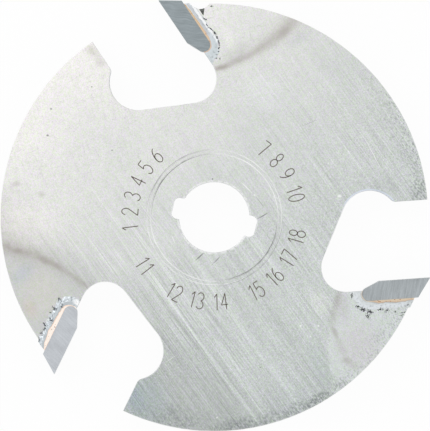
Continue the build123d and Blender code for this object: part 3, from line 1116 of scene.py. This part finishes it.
def braze_skin(tooth):
    """Profile: flush strip, concave bead down to the toe, back under it, down the seat's
    wall, and the same again below. It is carried from the gullet's floor to the rim."""
    seam = SEAMS[tooth]
    share = np.linspace(0, 1, ROWS)[:, None]
    reach = along_the_way(seam["reach"], share)
    toe = reach + seam["ragged"] * rough(share, 0 * share, (1 / 14, 1 / 45), 60 + tooth)
    top = np.concatenate([np.full((ROWS, 1), -SUNK), toe * np.linspace(0, 1, COLUMNS)], axis=1)
    under = toe + (BRAZE_GAP - toe) * np.linspace(0.02, 1, UNDER_COLUMNS)
    wall = np.full((ROWS, 2), BRAZE_GAP)
    distance = np.concatenate([top, under, wall, under[:, ::-1], top[:, ::-1]], axis=1)
    along, ahead = round_the_tip(tooth, share, distance)

    over = slice(0, top.shape[1])
    side = ground_height(along[:, over], ahead[:, over])
    fall = np.clip((top - seam["flush"]) / (toe - seam["flush"]), 0, 1)
    bead = HALF_PLATE - SUNK / 2 + (side - HALF_PLATE) * (1 - fall) ** 1.4
    bead += BEAD_LUMPS * rough(along, ahead, (0.3, 0.12), 70 + tooth)[:, over] * np.sin(pi * fall)
    bead[:, 0] -= SUNK
    flat = np.full_like(under, UNDERSIDE)
    down = np.tile([UNDERSIDE / 2, -UNDERSIDE / 2], (ROWS, 1))
    height = np.concatenate([bead, flat, down, -flat, -bead[:, ::-1]], axis=1)

    width = along_the_way(seam["strip"], share) + STRIP_WANDER * lumps(along, ahead, 0.25, 80 + tooth)
    x, y = on_cutter(tooth, along, ahead)
    piece = carried(f"braze_{tooth + 1}", [np.stack([x, y, height], axis=-1)])
    paint(piece, "distance", distance)
    paint(piece, "past_strip", distance - width)
    paint(piece, "short_of_toe", reach - distance)
    paint(piece, "share", np.broadcast_to(share, distance.shape))
    return piece


print(f"{ROWS} profiles along each seam")

# %% [markdown]
# Silver, copper and pits
#
# Near the toe the braze is thin and takes the look of the steel under it, so its material
# starts from the same ground tone and heat line as the plate's. The silver bead, its
# flecks, the copper strip, the bands and the pits are laid over that, placed by the
# numbers that are stored on the mesh.

# %% Braze material
COPPER_SPOTS = tone(160, 100, 66)
FLECK_CELL = 0.32
FLECK_WHITE = tone(232, 238, 244)
FLECK_DARK = tone(104, 110, 114)


def banded(finish, colour, off, way, bands):
    """Paint bands that lie between two distances off a line and two shares of the way."""
    for near, far, start, end, band_colour, amount in bands:
        aside = finish.apart(off, (near + far) / 2)
        along = finish.apart(way, (start + end) / 2)
        across = finish.step(aside, 0.3 * (far - near), 0.6 * (far - near), amount, 0.0)
        within = finish.step(along, (end - start) / 2 - 0.06, (end - start) / 2 + 0.06, 1.0, 0.0)
        colour = finish.blend(finish.times(across, within), colour, band_colour)
    return colour


def braze_metal(tooth):
    """Steel, then silver as far as the toe, then copper as far as the strip's border, and
    over them the bands along that border and the pits."""
    seam = SEAMS[tooth]
    braze = Finish(f"braze_{tooth + 1}")

    def stored(name):
        return braze.add("Attribute", {}, "Fac", attribute_name=name)

    steel, _ = ground_tone(braze)
    steel = heated(braze, steel, tooth)
    fine = braze.noise(FLECK_CELL, 100 + tooth, 2, 0.6)
    broad = braze.noise(0.5, 103 + tooth, 1)
    wobble = braze.swing(broad, 0.25)
    distance = braze.plus(stored("distance"), wobble)
    way = braze.plus(stored("share"), braze.swing(broad, 0.15))

    flush, fleck = seam["flush"], seam["fleck"]
    outer = braze.step(distance, flush - 0.15, flush + 0.15, 0.3 * fleck, fleck)
    silver = banded(braze, seam["silver"], distance, way, seam["at_tip"] + seam["beside_tip"])
    silver = braze.blend(braze.times(braze.step(fine, 0.53, 0.64), outer), silver, FLECK_WHITE)
    silver = braze.blend(braze.times(braze.step(fine, 0.46, 0.36), outer), silver, FLECK_DARK)
    thick = braze.plus(stored("short_of_toe"), braze.swing(broad, 0.9))
    colour = braze.blend(braze.step(thick, -0.08, 0.25), steel, silver)

    from_share, strength = seam["spotted"]
    spots = braze.step(braze.noise(0.2, 106 + tooth, 0), 0.66, 0.74)
    spotted = braze.times(spots, braze.step(way, from_share, from_share + 0.1), strength)
    copper = braze.blend(spotted, seam["copper"], COPPER_SPOTS)
    copper = banded(braze, copper, distance, way, seam["at_tip"])
    past = braze.plus(stored("past_strip"), braze.times(wobble, 0.3))
    colour = braze.blend(braze.step(past, 0.02, -0.02), colour, copper)
    colour = banded(braze, colour, past, way, seam["beside_strip"])
    colour, relief = pitted(braze, colour, fine, (tooth,))
    return braze.metal(colour, roughness=0.4, metallic=0.75, relief=relief, depth=0.012)


for tooth in TEETH:
    skin = braze_skin(tooth)
    skin.data.materials.append(braze_metal(tooth))
    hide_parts(f"braze_seam_{tooth + 1}")

# %% [markdown]
# A count round the bore
#
# The place for marking round the bore holds a plain running count, burnt into the steel
# as thin dark lines. A digit is one or two strokes, each of straight runs and arcs of
# ellipses in a box from -1 to 1. A stroke becomes a flat ribbon: its line, offset half a
# line width to each side, and a few thousandths of a millimetre proud of the plate.

# %% Strokes of the digits
def bow(x, y, half_width, half_height, start, end):
    """Points about 15 degrees apart on an ellipse, from one angle to another."""
    angle = np.radians(np.linspace(start, end, 2 + int(abs(end - start) / 15)))
    return np.stack([x + half_width * np.cos(angle), y + half_height * np.sin(angle)], axis=-1)


SIX = np.concatenate([bow(1, -0.4, 2, 1.4, 105, 180)[:-1], bow(0, -0.4, 1, 0.6, 180, 540)])
DIGITS = {
    "0": [bow(0, 0, 1, 1, 90, 450)],
    "1": [np.array([(-0.6, 0.55), (0.2, 1), (0.2, -1)])],
    "2": [np.concatenate([bow(0, 0.45, 1, 0.55, 170, -35), [(-1, -1), (1, -1)]])],
    "3": [np.concatenate([bow(-0.1, 0.5, 1, 0.5, 150, -80), bow(-0.1, -0.5, 1.1, 0.5, 80, -150)])],
    "4": [np.array([(0.45, -1), (0.45, 1), (-1, -0.4), (1, -0.4)])],
    "5": [np.concatenate([[(0.85, 1), (-0.8, 1), (-0.85, 0.1)], bow(-0.1, -0.35, 1.1, 0.65, 120, -150)])],
    "6": [SIX],
    "7": [np.array([(-1, 1), (1, 1), (-0.3, -1)])],
    "8": [bow(0, 0.5, 0.85, 0.5, -90, 270), bow(0, -0.5, 1, 0.5, 90, 450)],
    "9": [-SIX],
}
print("digits:", " ".join(DIGITS))

# %% From a stroke to a ribbon, and from a text to its strokes
DIGIT_HALF_WIDTH = 0.36
DIGIT_HALF_HEIGHT = 0.92
STROKE_WIDTH = 0.105
STROKE_STEP = 0.09
MARK_RADIUS = 9.6
MARK_RISE = 0.004


def ribbon(path):
    """A flat closed ribbon: the path in short even steps, offset to both sides, with a
    top just above the plate and a bottom just under it."""
    travelled = np.r_[0, np.cumsum(np.hypot(*np.diff(path, axis=0).T))]
    stops = np.linspace(0, travelled[-1], 2 + int(travelled[-1] / STROKE_STEP))
    path = np.stack([np.interp(stops, travelled, path[:, axis]) for axis in (0, 1)], axis=-1)
    ahead = np.gradient(path, axis=0)
    ahead /= np.hypot(*ahead.T)[:, None]
    aside = np.stack([-ahead[:, 1], ahead[:, 0]], axis=-1) * STROKE_WIDTH / 2
    top = np.full((len(path), 1), HALF_PLATE + MARK_RISE)
    low = top - 5 * MARK_RISE
    corners = [(path + aside, low), (path + aside, top), (path - aside, top), (path - aside, low)]
    return np.stack([np.hstack(corner) for corner in corners], axis=1)


def written(text, first_angle, pitch, tops_outward):
    """Strokes of a text set round the bore from an angle: clockwise with tops outward,
    or counter-clockwise with tops inward."""
    way = -1 if tops_outward else 1
    strokes = []
    for place, character in enumerate(text):
        polar = radians(first_angle + way * place * pitch)
        outward = np.array([cos(polar), sin(polar)])
        right = way * np.array([-sin(polar), cos(polar)])
        for line in DIGITS.get(character, ()):
            x, y = line[:, :1] * DIGIT_HALF_WIDTH, line[:, 1:] * DIGIT_HALF_HEIGHT
            strokes.append(ribbon(outward * MARK_RADIUS + x * right - way * y * outward))
    return strokes


print(f"digits {2 * DIGIT_HALF_HEIGHT:.2f} mm tall, in lines {STROKE_WIDTH} mm wide")

# %% Write the count and burn it in
COUNTS = (
    ("1 2 3 4 5 6", 187.0, 5.4, True),
    ("7 8 9 10", 54.0, 5.8, True),
    ("11", 212.0, 5.8, False),
    ("12 13 14", 239.0, 5.4, False),
    ("15 16 17 18", 297.0, 5.2, False),
)
BURNT_DARK = tone(78, 70, 62)
BURNT_PALE = tone(128, 118, 108)

count = carried("burnt_count", [stroke for line in COUNTS for stroke in written(*line)], rounded=False)
burnt = Finish("burnt_mark")
char = burnt.noise(0.09, 120, 2)
burnt_colour = burnt.blend(burnt.step(char, 0.3, 0.7), BURNT_DARK, BURNT_PALE)
count.data.materials.append(burnt.metal(burnt_colour, roughness=0.6, metallic=0.3, relief=char, depth=0.003))
